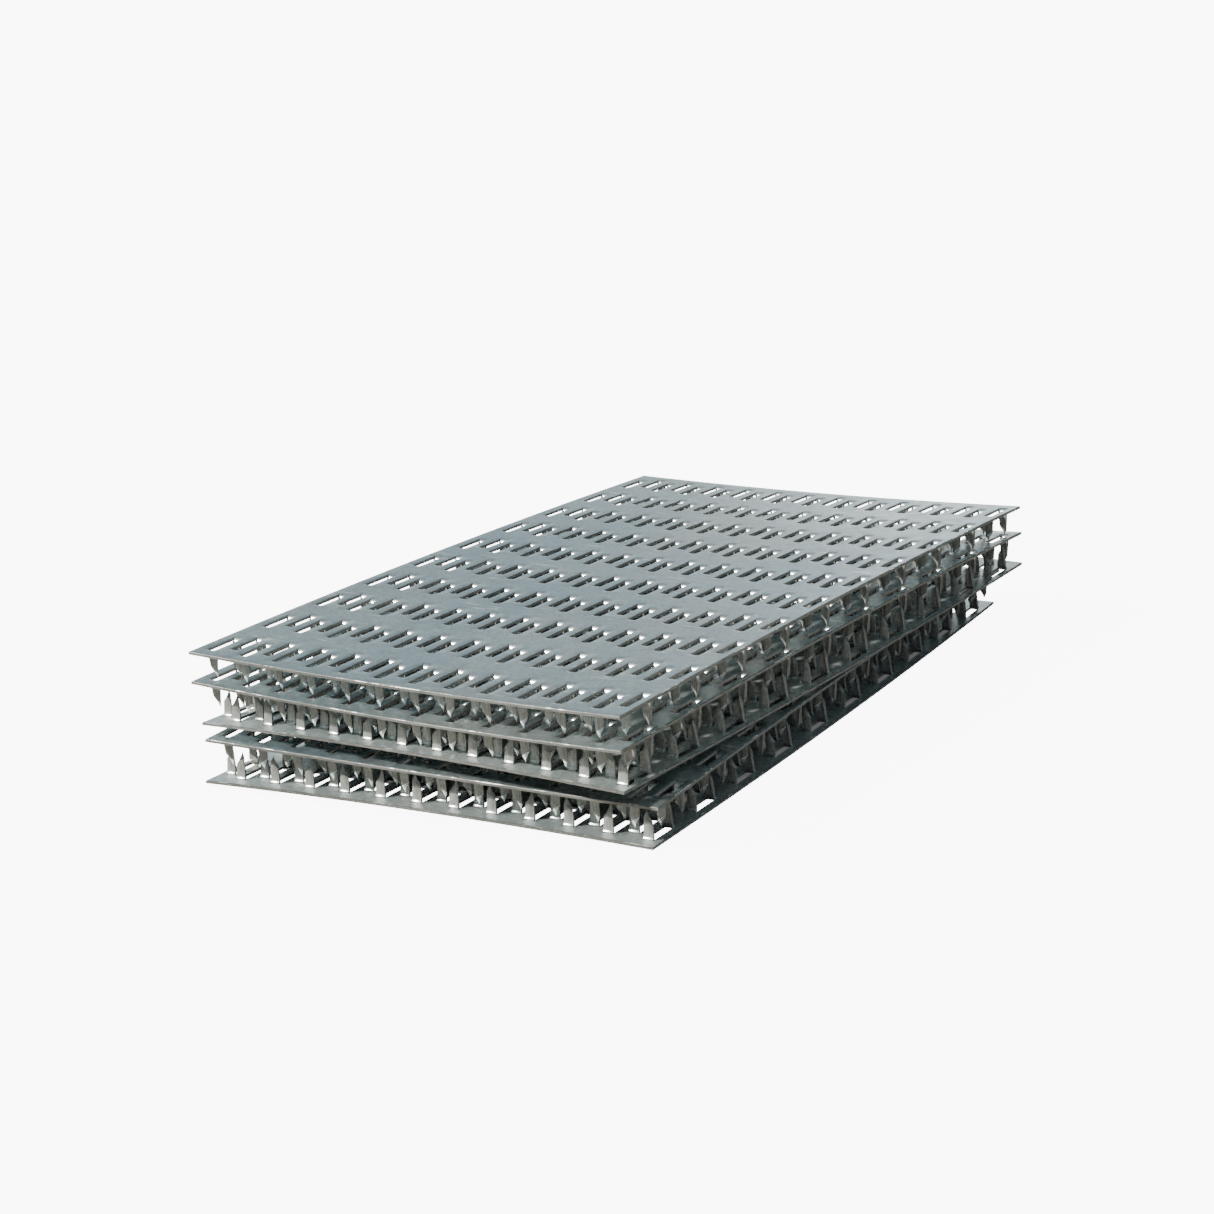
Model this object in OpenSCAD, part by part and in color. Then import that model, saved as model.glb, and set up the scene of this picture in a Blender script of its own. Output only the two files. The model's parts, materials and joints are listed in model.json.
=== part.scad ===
// Stack of punched-tooth nail plates, as used to join timber roof trusses.
// Each plate is one piece of galvanised sheet: its teeth are cut and bent out of its slots.
// Frame: origin on the floor under the middle of the bottom plate, +X across, +Y along, +Z up.

/* [Plate] */
// Width of a plate, across the slots
plate_w = 155; // [76.2:0.1:203.2]
// Length of a plate, along the slots
plate_l = 254; // [127:25.4:381]
// Thickness of the sheet with its zinc
sheet_t = 0.95; // [0.8:0.05:1.3]

/* [Slots] */
// Distance from one column of slots to the next, across the plate
column_pitch = 6.35; // [5:0.05:8]
// Distance from one row of slots to the next, along the plate
row_pitch = 25.4; // [22:0.1:32]
// Width of a slot and of its two teeth
slot_w = 3.175; // [2:0.025:4]
// Length of a slot between the outer faces of its two teeth
slot_l = 11.6; // [9:0.1:14]
// Solid margin from the plate's front edge to its first teeth
front_margin = 4.6; // [2:0.1:6]
// How far every second column is set back along the plate
column_stagger = 3.4; // [0:0.1:4]
// How far the columns sit to the right of the plate's middle, as sheared
side_shift = 0.5; // [0:0.1:1]

/* [Teeth] */
// Length of a tooth's long side below the sheet
tooth_long = 8.4; // [6:0.1:10]
// Length of a tooth's short side below the sheet
tooth_short = 5.4; // [2:0.1:6]

/* [Stack] */
// Gap between the sheets of the two upper plates whose teeth face each other
upper_mesh_gap = 11.85; // [9:0.05:16]
// Gap between the sheets of the two lower plates whose teeth face each other
lower_mesh_gap = 13.4; // [9:0.05:16]
// Gap between the two plates that lie back to back, held apart by their bow
back_gap = 2.9; // [0.3:0.05:4]
// Clearance under the tooth points of the top plate
point_gap = 0.3; // [0.05:0.05:1]
// Turn of the bottom pair about the vertical
pair_turn = 4.1; // [0:0.1:6]

/* [Hidden] */

columns = floor(plate_w / column_pitch + 0.01);
rows = floor(plate_l / row_pitch + 0.01);

// Underside of each sheet above the floor, from the bottom plate up
sheet_5_z = 0;
sheet_4_z = sheet_5_z + sheet_t + lower_mesh_gap;
sheet_3_z = sheet_4_z + sheet_t + back_gap;
sheet_2_z = sheet_3_z + sheet_t + upper_mesh_gap;
sheet_1_z = sheet_2_z + sheet_t + point_gap + tooth_long;

// Middle of each plate in plan, and its turn: the loose plates lie a little askew
place_1 = [2.9, 0.3, 0.1];
place_2 = [3.4, -0.3, 0];
place_3 = [4.4, 0.7, 0];
place_4 = [1, 0.6, pair_turn];
place_5 = [0, 0, pair_turn];

zinc_light = [0.60, 0.64, 0.66];
zinc_blue = [0.52, 0.58, 0.61];
zinc_dull = [0.46, 0.50, 0.51];

// Middle of column c across the plate
function column_x(c) = (c - (columns - 1) / 2) * column_pitch + side_shift;

// Outer face of the near tooth in column c, row r, measured from the plate's middle
function slot_y(c, r) = r * row_pitch + front_margin + (c % 2) * column_stagger - plate_l / 2;

// The near tooth's point is on the right in the first column and on the left two columns on
function point_side(c) = (floor(c / 2) % 2 == 0) ? 1 : -1;

// Outline of one tooth as seen from its front, with its root at the origin
module tooth_outline(side) {
    polygon([
        [-slot_w / 2, 0],
        [slot_w / 2, 0],
        [slot_w / 2, side > 0 ? -tooth_long : -tooth_short],
        [-slot_w / 2, side > 0 ? -tooth_short : -tooth_long],
    ]);
}

// One flat tooth standing down from the sheet, its outer face at y
module tooth(x, y, side) {
    translate([x, y + sheet_t, 0])
        rotate([90, 0, 0])
            linear_extrude(height = sheet_t)
                tooth_outline(side);
}

// The sheet with its slots: each opening ends at the inner faces of its two teeth
module slotted_sheet() {
    linear_extrude(height = sheet_t)
        difference() {
            square([plate_w, plate_l], center = true);
            for (c = [0 : columns - 1], r = [0 : rows - 1])
                translate([column_x(c) - slot_w / 2, slot_y(c, r) + sheet_t])
                    square([slot_w, slot_l - 2 * sheet_t]);
        }
}

// A whole plate with its teeth down and the sheet's underside at z = 0
module nail_plate() {
    union() {
        slotted_sheet();
        for (c = [0 : columns - 1], r = [0 : rows - 1]) {
            tooth(column_x(c), slot_y(c, r), point_side(c));
            tooth(column_x(c), slot_y(c, r) + slot_l - sheet_t, -point_side(c));
        }
    }
}

// Teeth down, sheet_z being the height of the sheet's underside
module plate_teeth_down(place, sheet_z) {
    translate([place[0], place[1], sheet_z])
        rotate([0, 0, place[2]])
            nail_plate();
}

// Turned over sideways about its length, so that its teeth stand up
module plate_teeth_up(place, sheet_z) {
    translate([place[0], place[1], sheet_z + sheet_t])
        rotate([0, 0, place[2]])
            rotate([0, 180, 0])
                nail_plate();
}

module nail_plate_1_top() {
    color(zinc_blue) plate_teeth_down(place_1, sheet_1_z);
}

module nail_plate_2() {
    color(zinc_dull) plate_teeth_down(place_2, sheet_2_z);
}

module nail_plate_3() {
    color(zinc_light) plate_teeth_up(place_3, sheet_3_z);
}

module nail_plate_4() {
    color(zinc_dull) plate_teeth_down(place_4, sheet_4_z);
}

module nail_plate_5_bottom() {
    color(zinc_light) plate_teeth_up(place_5, sheet_5_z);
}

nail_plate_1_top();
nail_plate_2();
nail_plate_3();
nail_plate_4();
nail_plate_5_bottom();
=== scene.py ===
"""The looks of a stack of five loose nail plates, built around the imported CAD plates.

Each plate is one galvanised sheet. Slots are pierced in it in staggered columns, and the metal of each
slot is bent out of the sheet as two pointed teeth, one at either end. The plates are slightly bowed and
twisted, which the flat CAD plates are not.
"""

import json
import math

import bpy
import numpy as np
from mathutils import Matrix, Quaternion, Vector


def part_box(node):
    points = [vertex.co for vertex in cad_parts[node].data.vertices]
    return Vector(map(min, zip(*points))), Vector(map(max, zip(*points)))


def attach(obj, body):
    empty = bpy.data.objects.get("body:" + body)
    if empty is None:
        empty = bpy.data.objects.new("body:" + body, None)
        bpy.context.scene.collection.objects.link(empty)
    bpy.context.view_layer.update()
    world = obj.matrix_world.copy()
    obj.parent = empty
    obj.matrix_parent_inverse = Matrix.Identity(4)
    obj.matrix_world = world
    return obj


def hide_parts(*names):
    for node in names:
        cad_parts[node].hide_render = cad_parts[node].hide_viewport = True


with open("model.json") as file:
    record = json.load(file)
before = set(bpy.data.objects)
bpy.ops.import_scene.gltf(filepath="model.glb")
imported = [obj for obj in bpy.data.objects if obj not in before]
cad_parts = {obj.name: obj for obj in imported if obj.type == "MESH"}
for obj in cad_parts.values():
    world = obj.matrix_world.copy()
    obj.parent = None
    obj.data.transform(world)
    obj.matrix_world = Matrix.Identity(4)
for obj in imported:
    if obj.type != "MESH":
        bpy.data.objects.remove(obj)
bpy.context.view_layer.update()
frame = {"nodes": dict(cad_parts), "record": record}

MM = 0.001

# ---- Camera: where it stands round the middle of the stack, as the photograph was taken ----
CAMERA_AZIMUTH = math.radians(34.46)
CAMERA_ELEVATION = math.radians(15.37)
CAMERA_ROLL = math.radians(-3.48)
CAMERA_DISTANCE = 839.8 * MM
CAMERA_LENS = 76.39
CAMERA_AIM = Vector((-7.0, -1.7, 29.4)) * MM

# ---- One plate, in its own frame: x across, y along, z up from the underside, teeth hanging down ----
COLUMNS = 24
ROWS = 10
COLUMN_PITCH = 6.35
ROW_PITCH = 25.4
SIDE_SHIFT = 0.5         # the slot pattern sits this far right of the middle
SHEET_T = 0.95
SLOT_W = 3.175
BEND_IN = 1.3            # inner radius of the bend at a tooth's root
BEND_OUT = BEND_IN + SHEET_T
SLOT_START = 3.45        # from the front edge to the first bend of an even column
SLOT_SPAN = 14.5         # between the two bends of a slot
STAGGER = 3.4            # odd columns stand this much further back
TOOTH_LONG = 9.4         # from the flat side down to the point
TOOTH_SHORT = 6.4        # from the flat side down to the tooth's short side
CURL_END = math.radians(62)   # a tooth is cupped like a gutter: its sides are turned this far at the point
CURL_ARC = 3.1           # length of metal across the cupped outer face
CURL_T = 0.85            # the metal is a little thinner there
CURL_AT_BEND = 0.12      # how much of the cupping is there at the end of the bend
CURL_RUN = 7.0           # it is full this far below the bend
BEVEL_SHORT = 0.9        # the slanted cut leans: the outer face stops this much short of the slot face,
BEVEL_LONG = 1.9         # at the short side and at the point
FOLD_NEAR = 2.3          # the fold at a tooth's root runs round it, so slots have rounded ends
FOLD_FAR = 3.8
ROLL_OVER = 0.2          # rounding of the sheared edges on the flat side
ROLL_DROP = 0.15

ACROSS = 6               # strips across a tooth
BEND_STEPS = 4
FIRST_ROWS = (0.8, 1.6)  # depths of the first rows of a tooth below its bend
BURR = 0.05              # height of the burr round the sheared outline
LEAN = 1.2               # spread of the teeth's lean and twist, in degrees, and of their length
TWIST = 2.5
LENGTH_SPREAD = 0.1
SHARP = math.radians(34)

# Finishes of a plate's faces: flat side, tooth side, sheared slot side, slanted cut and bend and shank of a tooth,
# outer edge of the plate, and that edge's rolled corner, with painted highlights
SKIN, BACK, SHEARED, CUT, BENT, SHANK, RIM, ROLLED_CORNER = range(8)

PLATES = ("nail_plate_1_top", "nail_plate_2", "nail_plate_3", "nail_plate_4", "nail_plate_5_bottom")
TEETH_UP = ("nail_plate_3", "nail_plate_5_bottom")
# How much the middle stands up along the length and dips across the width, in mm
BOW_LONG = {"nail_plate_1_top": 1.5, "nail_plate_5_bottom": 1.6}
BOW_CROSS = {"nail_plate_1_top": 1.15, "nail_plate_4": 0.2, "nail_plate_5_bottom": 1.15}
BOW_USUAL = 1.4
# How far below the flat CAD plate the corners of the bowed one lie, in mm
SETTLED = {"nail_plate_1_top": 0.5, "nail_plate_2": 0.2, "nail_plate_3": 0.1, "nail_plate_4": 0.05,
           "nail_plate_5_bottom": -1.6}
# The plates are not quite flat otherwise either: how much their front left, front right, back right and
# back left corners stand up, in mm
TWISTED = {"nail_plate_1_top": (0.25, -0.35, -0.2, -0.65), "nail_plate_2": (0.45, -0.5, 0.2, -0.4),
           "nail_plate_3": (0.0, 0.1, 1.6, 0.4), "nail_plate_4": (0.9, -1.5, 0.6, 0.2),
           "nail_plate_5_bottom": (0.45, -0.3, 1.4, 0.3)}
# How much narrower the left and right margins of some are drawn, in mm
TRIMMED = {"nail_plate_3": (0.7, 1.5), "nail_plate_4": (0.5, 0.0), "nail_plate_5_bottom": (0.5, 1.0)}


def make_camera():
    data = bpy.data.cameras.new("camera")
    data.lens = CAMERA_LENS
    data.sensor_width = 36
    data.clip_start = 0.01
    data.clip_end = 200
    camera = bpy.data.objects.new("camera", data)
    bpy.context.scene.collection.objects.link(camera)
    back = Vector((
        math.sin(CAMERA_AZIMUTH) * math.cos(CAMERA_ELEVATION),
        -math.cos(CAMERA_AZIMUTH) * math.cos(CAMERA_ELEVATION),
        math.sin(CAMERA_ELEVATION),
    ))
    camera.location = CAMERA_AIM + back * CAMERA_DISTANCE
    camera.rotation_mode = "QUATERNION"
    camera.rotation_quaternion = (-back).to_track_quat("-Z", "Y") @ Quaternion((0, 0, 1), CAMERA_ROLL)
    bpy.context.scene.camera = camera


def column_x(column):
    """The middle of a column of slots, from the plate's middle."""
    return (column - (COLUMNS - 1) / 2) * COLUMN_PITCH + SIDE_SHIFT


def slot_ends(column, row):
    """Where the two bends of a slot begin, from the plate's front edge."""
    start = row * ROW_PITCH + SLOT_START + (STAGGER if column % 2 else 0)
    return start, start + SLOT_SPAN


ACROSS_TOOTH = np.linspace(-1, 1, ACROSS + 1)


def fold_line(radius):
    """How far round the fold at a tooth's root has run, across the tooth."""
    return radius - np.sqrt(radius ** 2 - (ACROSS_TOOTH * SLOT_W / 2) ** 2)


def cupped(curl, slot_side):
    """Section line of a tooth's slot side or outer side, cupped by a share of the full cupping."""
    half_turn = np.clip(CURL_END * curl, 0.02, None)
    radius = CURL_ARC / 2 / half_turn
    within = radius - (CURL_T if slot_side else 0)
    turn = ACROSS_TOOTH * half_turn
    return within * np.sin(turn), BEND_IN + radius - within * np.cos(turn)


class PlateMesh:
    """Collects the points and quads of one plate, in mm, before it is bowed."""

    def __init__(self, width, length, trim, seed):
        self.width, self.length, self.trim = width, length, trim
        self.random = np.random.default_rng(seed)
        self.points, self.quads, self.finish = [], [], []
        self.count = 0

    def add(self, points):
        points = np.asarray(points, float)
        index = np.arange(len(points.reshape(-1, 3))) + self.count
        self.points.append(points.reshape(-1, 3))
        self.count += len(index)
        return index.reshape(points.shape[:-1])

    def strip(self, grid, flip=False, finish=SKIN, cells=None):
        """Quads between neighbouring points of a grid of indices, or only where cells is true."""
        a, b, c, d = grid[:-1, :-1], grid[:-1, 1:], grid[1:, 1:], grid[1:, :-1]
        order = (a, d, c, b) if flip else (a, b, c, d)
        cells = np.ones(a.shape, bool) if cells is None else cells
        self.quads.append(np.stack([q[cells] for q in order], 1))
        self.finish.append(np.full(cells.sum(), finish))

    def lines(self):
        """The grid's lines across and along: edges, slot sides, and the bends of both kinds of column."""
        left, right = self.trim[0] - self.width / 2, self.width / 2 - self.trim[1]
        rim = [0, ROLL_OVER / 2, ROLL_OVER * 1.5]
        xs = [left + r for r in rim] + [right - r for r in rim]
        for column in range(COLUMNS):
            middle = column_x(column)
            xs += [middle + SLOT_W * (i / ACROSS - 0.5) for i in range(ACROSS + 1)]
            xs += [middle + s * (SLOT_W / 2 + ROLL_OVER) for s in (-1, 1)]
        ys = rim + [self.length - r for r in rim]
        for row in range(ROWS):
            for column in (0, 1):
                start, end = slot_ends(column, row)
                ys += [start - BEND_IN / 2, start, end, end + BEND_IN / 2]
        return np.unique(np.round(xs, 4)), np.unique(np.round(ys, 4))

    def sheet(self):
        """The flat sheet with its slots, and the teeth that grow from the slots' ends."""
        xs, ys = self.lines()
        nx, ny = len(xs), len(ys)
        x, y = np.meshgrid(xs, ys)
        solid = np.ones((ny - 1, nx - 1), bool)
        on_slot_side = np.zeros((ny, nx), bool)
        slots = []
        for column in range(COLUMNS):
            left = int(np.argmin(abs(xs - (column_x(column) - SLOT_W / 2))))
            for row in range(ROWS):
                start, end = (int(np.argmin(abs(ys - e))) for e in slot_ends(column, row))
                solid[start:end, left:left + ACROSS] = False
                on_slot_side[start + 1:end, [left, left + ACROSS]] = True
                slots.append((column, row, left, start, end))

        edge = np.minimum(np.minimum(x - xs[0], xs[-1] - x), np.minimum(y - ys[0], ys[-1] - y))
        rolled = ROLL_DROP * (1 - np.sqrt(1 - (1 - np.clip(edge / (ROLL_OVER * 1.5), 0, 1)) ** 2))
        rolled = np.where(on_slot_side, ROLL_DROP, rolled)
        burr = BURR * (edge < 1e-6)
        for column, row, left, start, end in slots:
            y[start, left:left + ACROSS + 1] += fold_line(FOLD_NEAR)
            y[end, left:left + ACROSS + 1] -= fold_line(FOLD_FAR)
        top = self.add(np.stack([x, y - self.length / 2, SHEET_T - rolled], 2))
        low = self.add(np.stack([x, y - self.length / 2, burr], 2))

        rolled_cells = np.ones_like(solid)
        rolled_cells[2:-2, 2:-2] = False
        self.strip(top, cells=solid & ~rolled_cells)
        self.strip(top, finish=ROLLED_CORNER, cells=rolled_cells)
        self.strip(low, flip=True, finish=BACK, cells=solid & ~rolled_cells)
        self.strip(low, flip=True, finish=ROLLED_CORNER, cells=rolled_cells)
        self.wall(top[0], low[0], RIM)
        self.wall(top[::-1, 0], low[::-1, 0], RIM)
        self.wall(top[-1, ::-1], low[-1, ::-1], RIM)
        self.wall(top[:, -1], low[:, -1], RIM)
        for column, row, left, start, end in slots:
            right = left + ACROSS
            self.wall(top[start:end + 1, left], low[start:end + 1, left])
            self.wall(top[start:end + 1, right][::-1], low[start:end + 1, right][::-1])
            near = 1 if (column // 2) % 2 == 0 else -1
            self.tooth(column_x(column), ys[start], 1, near,
                       top[start, left:right + 1], low[start, left:right + 1])
            self.tooth(column_x(column), ys[end], -1, -near,
                       top[end, left:right + 1], low[end, left:right + 1])

    def wall(self, upper, lower, finish=SHEARED):
        """An upright face between two lines of points, seen from the right of their direction."""
        self.strip(np.stack([lower, upper]), finish=finish)

    def tooth(self, middle, bend, way, point_side, top_root, low_root):
        """One tooth, bent down from the sheet at bend towards way, with its point at point_side."""
        u = ACROSS_TOOTH
        fold = fold_line(FOLD_NEAR if way > 0 else FOLD_FAR)
        lean = math.radians(self.random.normal(0, LEAN))
        twist = math.radians(self.random.normal(0, TWIST))
        longer = self.random.normal(0, LENGTH_SPREAD)
        end = TOOTH_SHORT + (TOOTH_LONG - TOOTH_SHORT) * (1 + u * point_side) / 2 + longer
        shank = end - SHEET_T - BEND_IN
        rows = {}
        for slot_side, level, radius in ((True, SHEET_T, BEND_OUT), (False, 0, BEND_IN)):
            flat_x = u * SLOT_W / 2
            lines = []
            for step in range(1, BEND_STEPS + 1):
                turn = math.pi / 2 * step / BEND_STEPS
                share = 1 - math.cos(turn)
                x_end, y_end = cupped(CURL_AT_BEND, slot_side)
                x = flat_x + (x_end - flat_x) * share
                y = fold + radius * math.sin(turn) * (1 - fold / radius) + (y_end - radius) * share
                z = np.full_like(u, level - radius * (1 - math.cos(turn)))
                lines.append([x, y, z])
            bevel = BEVEL_SHORT + (BEVEL_LONG - BEVEL_SHORT) * (1 + u * point_side) / 2
            reach = shank if slot_side else shank - bevel
            for depth in (*FIRST_ROWS, (FIRST_ROWS[-1] + reach) / 2, reach):
                curl = CURL_AT_BEND + (1 - CURL_AT_BEND) * np.clip(depth / CURL_RUN, 0, 1)
                x, y = cupped(curl, slot_side)
                x, y = x + twist * (y - BEND_OUT) * depth / 8, y - twist * x * depth / 8 + lean * depth
                lines.append([x, y, -BEND_IN - depth * np.ones_like(u)])
            x, y, z = np.array(lines).transpose(1, 0, 2)
            rows[slot_side] = self.add(np.stack([middle + x, bend - self.length / 2 + way * y, z], 2))
        slot_face = np.vstack([top_root[None], rows[True]])
        outer_face = np.vstack([low_root[None], rows[False]])
        forward = way > 0
        # The light bend colour covers the whole bend on the slot face but stops a row short on the outer face,
        # keeping its painted highlight low in the fillet.
        for face, flip, bent in ((slot_face, not forward, BEND_STEPS), (outer_face, forward, BEND_STEPS - 1)):
            self.strip(face[:bent + 1], flip=flip, finish=BENT)
            self.strip(face[bent:], flip=flip, finish=SHANK)
        for edge, flip in ((0, forward), (-1, not forward)):
            self.strip(np.stack([slot_face[:, edge], outer_face[:, edge]]), flip=flip, finish=SHEARED)
        self.strip(np.stack([slot_face[-1], outer_face[-1]]), flip=not forward, finish=CUT)

    def mesh(self, bow_long, bow_cross):
        points = np.concatenate(self.points)
        quads = np.concatenate(self.quads)
        used = np.unique(quads)
        place = np.full(len(points), -1)
        place[used] = np.arange(len(used))
        points, quads = points[used], place[quads]
        x = points[:, 0] / (self.width / 2)
        y = points[:, 1] / (self.length / 2)
        points[:, 2] += bow_long * (1 - y ** 2) - bow_cross * (1 - x ** 2)
        return points, quads, np.concatenate(self.finish)


def plate_place(node):
    """Width, length, middle and turn of a CAD plate, from its front corners, and its lowest and highest level."""
    co = np.array([v.co for v in frame["nodes"][node].data.vertices])
    front_left = co[np.argmin(co[:, 0] + co[:, 1])]
    front_right = co[np.argmax(co[:, 0] - co[:, 1])]
    back_left = co[np.argmax(co[:, 1] - co[:, 0])]
    across = (front_right - front_left)[:2]
    along = (back_left - front_left)[:2]
    lowest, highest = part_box(node)
    return {
        "width": np.linalg.norm(across),
        "length": np.linalg.norm(along),
        "middle": ((lowest + highest) / 2)[:2],
        "turn": math.atan2(across[1], across[0]),
        "low": lowest[2],
        "high": highest[2],
    }


def make_plate(node, seed):
    place = plate_place(node)
    trim = TRIMMED.get(node, (0.0, 0.0))
    plate = PlateMesh(place["width"] / MM, place["length"] / MM, trim[::-1] if node in TEETH_UP else trim, seed)
    plate.sheet()
    points, quads, finish = plate.mesh(BOW_LONG.get(node, BOW_USUAL), BOW_CROSS.get(node, BOW_USUAL))
    points[:, 2] -= SHEET_T
    if node in TEETH_UP:
        points[:, 0] *= -1
        points[:, 2] *= -1
        level = place["low"] / MM - SETTLED[node]
    else:
        level = place["high"] / MM - SETTLED[node]
    x, y = points[:, 0].copy(), points[:, 1].copy()
    right, back = x / plate.width + 0.5, y / plate.length + 0.5
    front_left, front_right, back_right, back_left = TWISTED[node]
    points[:, 2] += ((front_left * (1 - right) + front_right * right) * (1 - back)
                     + (back_left * (1 - right) + back_right * right) * back)
    cos, sin = math.cos(place["turn"]), math.sin(place["turn"])
    points[:, 0] = x * cos - y * sin
    points[:, 1] = x * sin + y * cos
    points *= MM
    points += (place["middle"][0], place["middle"][1], level * MM)

    mesh = bpy.data.meshes.new(node + "_sheet")
    mesh.from_pydata(points.tolist(), [], quads.tolist())
    mesh.polygons.foreach_set("material_index", finish)
    mesh.update()
    mesh.shade_smooth()
    mesh.set_sharp_from_angle(angle=SHARP)
    piece = bpy.data.objects.new(node + "_sheet", mesh)
    bpy.context.scene.collection.objects.link(piece)
    return piece


class Nodes:
    """A short way to write the nodes of a material or a world."""

    def __init__(self, owner):
        self.owner = owner
        owner.use_nodes = True
        self.tree = owner.node_tree
        self.tree.nodes.clear()

    def new(self, kind, **values):
        node = self.tree.nodes.new("ShaderNode" + kind)
        for key, value in values.items():
            name = key.replace("_", " ")
            if name in node.inputs:
                self.set(node.inputs[name], value)
            else:
                setattr(node, key, value)
        return node

    def set(self, socket, value):
        if isinstance(value, bpy.types.NodeSocket):
            self.tree.links.new(value, socket)
        else:
            socket.default_value = value

    def maths(self, operation, *values):
        node = self.tree.nodes.new("ShaderNodeMath")
        node.operation = operation
        for socket, value in zip(node.inputs, values):
            self.set(socket, value)
        return node.outputs[0]

    def ramp(self, value, low, high, out_low=0.0, out_high=1.0):
        node = self.new("MapRange", clamp=True)
        for socket, v in zip(node.inputs, (value, low, high, out_low, out_high)):
            self.set(socket, v)
        return node.outputs[0]

    def mix(self, factor, a, b):
        node = self.tree.nodes.new("ShaderNodeMix")
        node.data_type = "RGBA"
        self.set(node.inputs["Factor"], factor)
        self.set(node.inputs["A"], a)
        self.set(node.inputs["B"], b)
        return node.outputs["Result"]

    def stretched(self, sizes):
        """The point on the object, with one unit of it as long as each of sizes, in mm."""
        point = self.tree.nodes.new("ShaderNodeTexCoord").outputs["Object"]
        mapping = self.new("Mapping", vector_type="POINT")
        self.set(mapping.inputs["Vector"], point)
        mapping.inputs["Scale"].default_value = [1 / (s * MM) for s in sizes]
        return mapping.outputs[0]

    def noise(self, sizes, detail=2.0, roughness=0.5):
        node = self.new("TexNoise", Vector=self.stretched(sizes), Scale=1.0, Detail=detail)
        node.inputs["Roughness"].default_value = roughness
        return node.outputs[0]


def zinc(name, dark, light, metallic, rough, relief, streaks, uneven, extra=None):
    """Zinc-coated steel: soft clouds, faint spangle, and fine streaks of the given size in mm.

    uneven is how much the streaks darken and lighten it; extra may change its colour further.
    """
    n = Nodes(bpy.data.materials.new(name))
    cloud = n.noise((55, 70, 55), 3)
    spangle = n.new("TexVoronoi", Vector=n.stretched((4, 5, 4)), Scale=1.0)
    cell = n.new("SeparateColor")
    n.set(cell.inputs[0], spangle.outputs["Color"])
    grain = n.noise((0.9, 1.9, 0.9), 3, 0.6)
    streak = n.noise(streaks, 3, 0.6)
    colour = n.mix(n.ramp(cloud, 0.35, 0.65), (*dark, 1), (*light, 1))
    if extra:
        colour = extra(n, colour)
    shade = n.maths("MULTIPLY_ADD", cell.outputs[0], 0.08, 0.94)
    shade = n.maths("MULTIPLY_ADD", n.ramp(grain, 0.3, 0.7, -0.5, 0.5), 0.30, shade)
    shade = n.maths("MULTIPLY_ADD", n.ramp(streak, 0.3, 0.7, -0.5, 0.5), uneven, shade)
    scaled = n.new("VectorMath", operation="SCALE")
    n.set(scaled.inputs[0], colour)
    n.set(scaled.inputs["Scale"], shade)
    roughness = n.maths("MULTIPLY_ADD", cell.outputs[1], 0.08, rough)
    roughness = n.maths("MULTIPLY_ADD", grain, 0.12, roughness)
    bump = n.new("Bump", Strength=relief, Distance=0.00005)
    n.set(bump.inputs["Height"], n.maths("ADD", grain, streak))
    shader = n.new("BsdfPrincipled", Metallic=metallic)
    n.set(shader.inputs["Base Color"], scaled.outputs[0])
    n.set(shader.inputs["Roughness"], roughness)
    n.set(shader.inputs["Normal"], bump.outputs[0])
    out = n.new("OutputMaterial")
    n.set(out.inputs["Surface"], shader.outputs[0])
    return n.owner


def scuffed(n, colour):
    """Whitish scuffs that run across the plate, and a brownish haze here and there."""
    line = n.ramp(n.noise((16, 2.2, 16), 3, 0.7), 0.60, 0.66)
    patch = n.ramp(n.noise((34, 12, 34), 2), 0.50, 0.58)
    haze = n.ramp(n.noise((60, 45, 60), 2), 0.52, 0.72, 0.0, 0.35)
    colour = n.mix(haze, colour, (0.46, 0.45, 0.40, 1))
    return n.mix(n.maths("MULTIPLY", n.maths("MULTIPLY", line, patch), 0.75), colour, (0.86, 0.88, 0.86, 1))


def painted_edge_glints(n, colour):
    """Painted highlights: bright metal colour in short broken lengths along an edge, standing in for glints of
    light on it.
    """
    return n.mix(n.ramp(n.noise((11, 11, 11), 4, 0.75), 0.55, 0.62), colour, (0.85, 0.86, 0.82, 1))


def flat_side():
    return zinc("flat_side", (0.38, 0.475, 0.50), (0.48, 0.56, 0.56), 0.92, 0.30, 0.25, (7, 1.6, 7), 0.12, scuffed)


def tooth_side():
    return zinc("tooth_side", (0.46, 0.54, 0.53), (0.56, 0.62, 0.60), 0.78, 0.32, 0.3, (7, 1.6, 7), 0.15)


def sheared_side():
    return zinc("sheared_side", (0.23, 0.235, 0.22), (0.34, 0.345, 0.32), 0.2, 0.55, 0.6, (0.4, 0.4, 4), 0.35)


# Painted glint: the slanted cuts of hanging teeth are coloured near white, standing in for the glint of light on
# them.
def slanted_cut_painted_glint():
    return zinc("slanted_cut_painted_glint", (0.80, 0.82, 0.80), (0.88, 0.89, 0.87), 0.7, 0.35, 0.2, (0.5, 0.5, 3), 0.2)


# A tooth's bend: burnished metal in a near-white colour, partly a painted highlight where the light strikes the
# bend.
def bent_burnish_highlight():
    return zinc("bent_burnish_highlight", (0.72, 0.75, 0.74), (0.80, 0.82, 0.80), 1.0, 0.22, 0.05, (2, 2, 2), 0.1)


def tooth_shank():
    return zinc("tooth_shank", (0.27, 0.275, 0.255), (0.36, 0.36, 0.335), 0.35, 0.5, 0.6, (0.4, 0.4, 5), 0.5)


def plate_rim():
    return zinc("plate_rim", (0.20, 0.205, 0.19), (0.30, 0.305, 0.285), 0.6, 0.5, 0.8, (5, 5, 0.3), 0.6)


# The rolled corner of a plate's edge: dark metal with painted highlights in short broken lengths.
def rolled_corner_glints():
    return zinc("rolled_corner_glints", (0.15, 0.16, 0.15), (0.22, 0.23, 0.22), 0.8, 0.48, 0.4, (4, 4, 0.5), 0.3, painted_edge_glints)


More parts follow.
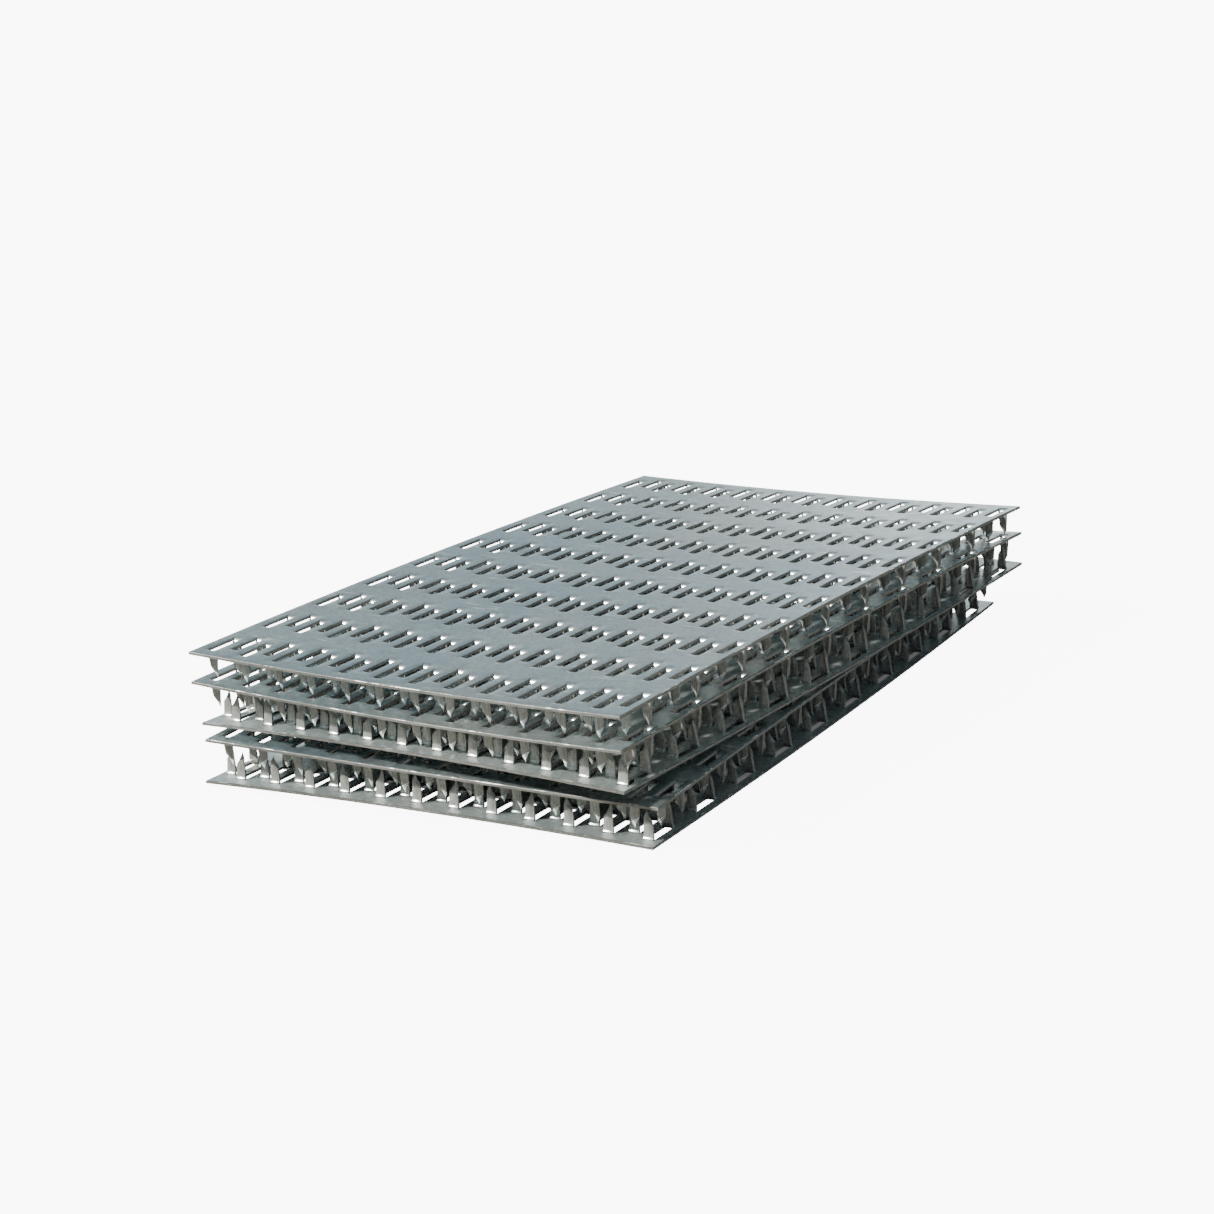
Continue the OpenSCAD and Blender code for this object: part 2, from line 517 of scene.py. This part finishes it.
def make_floor():
    """A pale floor. The camera sees it as a bright studio sweep, and the steel sees plain mid grey ground.

    The shade under the stack is painted on it by position, and stays when the plates are lifted.
    """
    mesh = bpy.data.meshes.new("floor")
    steps, radius = 64, 40.0
    ring = [(radius * math.cos(2 * math.pi * i / steps), radius * math.sin(2 * math.pi * i / steps), 0)
            for i in range(steps)]
    mesh.from_pydata(ring, [], [list(range(steps))])
    floor = bpy.data.objects.new("floor", mesh)
    bpy.context.scene.collection.objects.link(floor)
    n = Nodes(bpy.data.materials.new("floor"))
    ground = n.new("BsdfDiffuse")
    ground.inputs["Color"].default_value = (0.30, 0.28, 0.245, 1)
    sweep = n.new("Emission")
    n.set(sweep.inputs["Strength"], n.maths("MULTIPLY", outside_painted_shade(n), SWEEP))
    seen = n.new("AddShader")
    n.set(seen.inputs[0], ground.outputs[0])
    n.set(seen.inputs[1], sweep.outputs[0])
    path = n.new("LightPath")
    mix = n.new("MixShader")
    n.set(mix.inputs[0], path.outputs["Is Camera Ray"])
    n.set(mix.inputs[1], ground.outputs[0])
    n.set(mix.inputs[2], seen.outputs[0])
    out = n.new("OutputMaterial")
    n.set(out.inputs["Surface"], mix.outputs[0])
    mesh.materials.append(n.owner)


SWEEP = 9.0               # how brightly the camera sees the floor
IN_PAINTED_SHADE = 0.012          # and what is left of that in the painted shade deep under the stack
OPEN_FRONT = 24           # the painted shade under the stack starts this far in from its front edge, in mm


def outside_painted_shade(n):
    """1 on the open floor and just inside the stack's front edge, 0 where shade is painted deep under the stack.
    """
    place = plate_place(PLATES[-1])
    point = n.new("TexCoord").outputs["Object"]
    turned = n.new("Mapping", vector_type="TEXTURE")
    n.set(turned.inputs["Vector"], point)
    turned.inputs["Location"].default_value = (*place["middle"], 0)
    turned.inputs["Rotation"].default_value = (0, 0, place["turn"])
    axes = n.new("SeparateXYZ")
    n.set(axes.inputs[0], turned.outputs[0])
    x, y, half, end = axes.outputs[0], axes.outputs[1], place["width"] / 2, place["length"] / 2
    inside = n.maths("MULTIPLY", n.maths("GREATER_THAN", x, -half), n.maths("LESS_THAN", x, half - 4 * MM))
    corner = n.maths("GREATER_THAN", x, half - 10 * MM)
    front = n.maths("MULTIPLY_ADD", corner, ROW_PITCH * MM, OPEN_FRONT * MM - end)
    deep = n.maths("MULTIPLY", n.maths("GREATER_THAN", y, front), n.maths("LESS_THAN", y, end - 20 * MM))
    return n.maths("SUBTRACT", 1.0, n.maths("MULTIPLY", n.maths("MULTIPLY", inside, deep), 1 - IN_PAINTED_SHADE))


SUN_FROM = Vector((-0.546, -0.526, 0.652))
SUN_ENERGY = 8.0
SUN_ANGLE = math.radians(2)
SUN_COLOUR = (1.0, 0.97, 0.92)
CARD_AT = Vector((-0.72, 2.9, 0.70))
CARD_ENERGY = 12.0
CARD_SIZE = 1.6
CARD_COLOUR = (1.0, 0.98, 0.94)
# The sky: bright low down, darker and bluer higher up
HORIZON = (1.30, 1.48, 1.55)
DIM_HORIZON = (0.45, 0.50, 0.51)
BRIGHT_SIDE = (-0.35, 0.93, 0.0)
ZENITH = (0.27, 0.335, 0.38)


def add_lamp(name, kind, side, energy, colour):
    """A lamp that shines at the origin from the given side."""
    data = bpy.data.lights.new(name, kind)
    data.energy = energy
    data.color = colour
    lamp = bpy.data.objects.new(name, data)
    bpy.context.scene.collection.objects.link(lamp)
    lamp.rotation_mode = "QUATERNION"
    lamp.rotation_quaternion = (-side).to_track_quat("-Z", "Y")
    return lamp


def make_light():
    world = bpy.data.worlds.new("studio")
    bpy.context.scene.world = world
    n = Nodes(world)
    direction = n.new("TexCoord").outputs["Generated"]
    axes = n.new("SeparateXYZ")
    n.set(axes.inputs[0], direction)
    height = n.new("MapRange", interpolation_type="SMOOTHSTEP")
    for socket, value in zip(height.inputs, (axes.outputs[2], 0.0, 0.4, 0.0, 1.0)):
        n.set(socket, value)
    towards = n.new("VectorMath", operation="DOT_PRODUCT")
    n.set(towards.inputs[0], direction)
    towards.inputs[1].default_value = BRIGHT_SIDE
    low = n.mix(n.ramp(towards.outputs["Value"], -0.1, 0.85), (*DIM_HORIZON, 1), (*HORIZON, 1))
    background = n.new("Background", Strength=1.0)
    n.set(background.inputs["Color"], n.mix(height.outputs[0], low, (*ZENITH, 1)))
    out = n.new("OutputWorld")
    n.set(out.inputs["Surface"], background.outputs[0])
    sun = add_lamp("sun", "SUN", SUN_FROM, SUN_ENERGY, SUN_COLOUR)
    sun.data.angle = SUN_ANGLE
    # A large soft card behind the stack, which the top plate mirrors
    card = add_lamp("card", "AREA", CARD_AT, CARD_ENERGY, CARD_COLOUR)
    card.data.shape = "DISK"
    card.data.size = CARD_SIZE
    card.location = CARD_AT


make_camera()
finishes = (flat_side(), tooth_side(), sheared_side(), slanted_cut_painted_glint(), bent_burnish_highlight(), tooth_shank(), plate_rim(),
            rolled_corner_glints())
for seed, node in enumerate(PLATES, 1):
    piece = make_plate(node, seed)
    for finish in finishes:
        piece.data.materials.append(finish)
    if node in TEETH_UP:
        piece.data.materials[CUT] = finishes[SHEARED]   # the cuts of standing teeth get the darker sheared colour instead, without the painted glint
    body = next(b for b, nodes in frame["record"]["behaviour"]["bodies"].items() if node in nodes)
    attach(piece, body)
    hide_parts(node)
make_floor()
make_light()
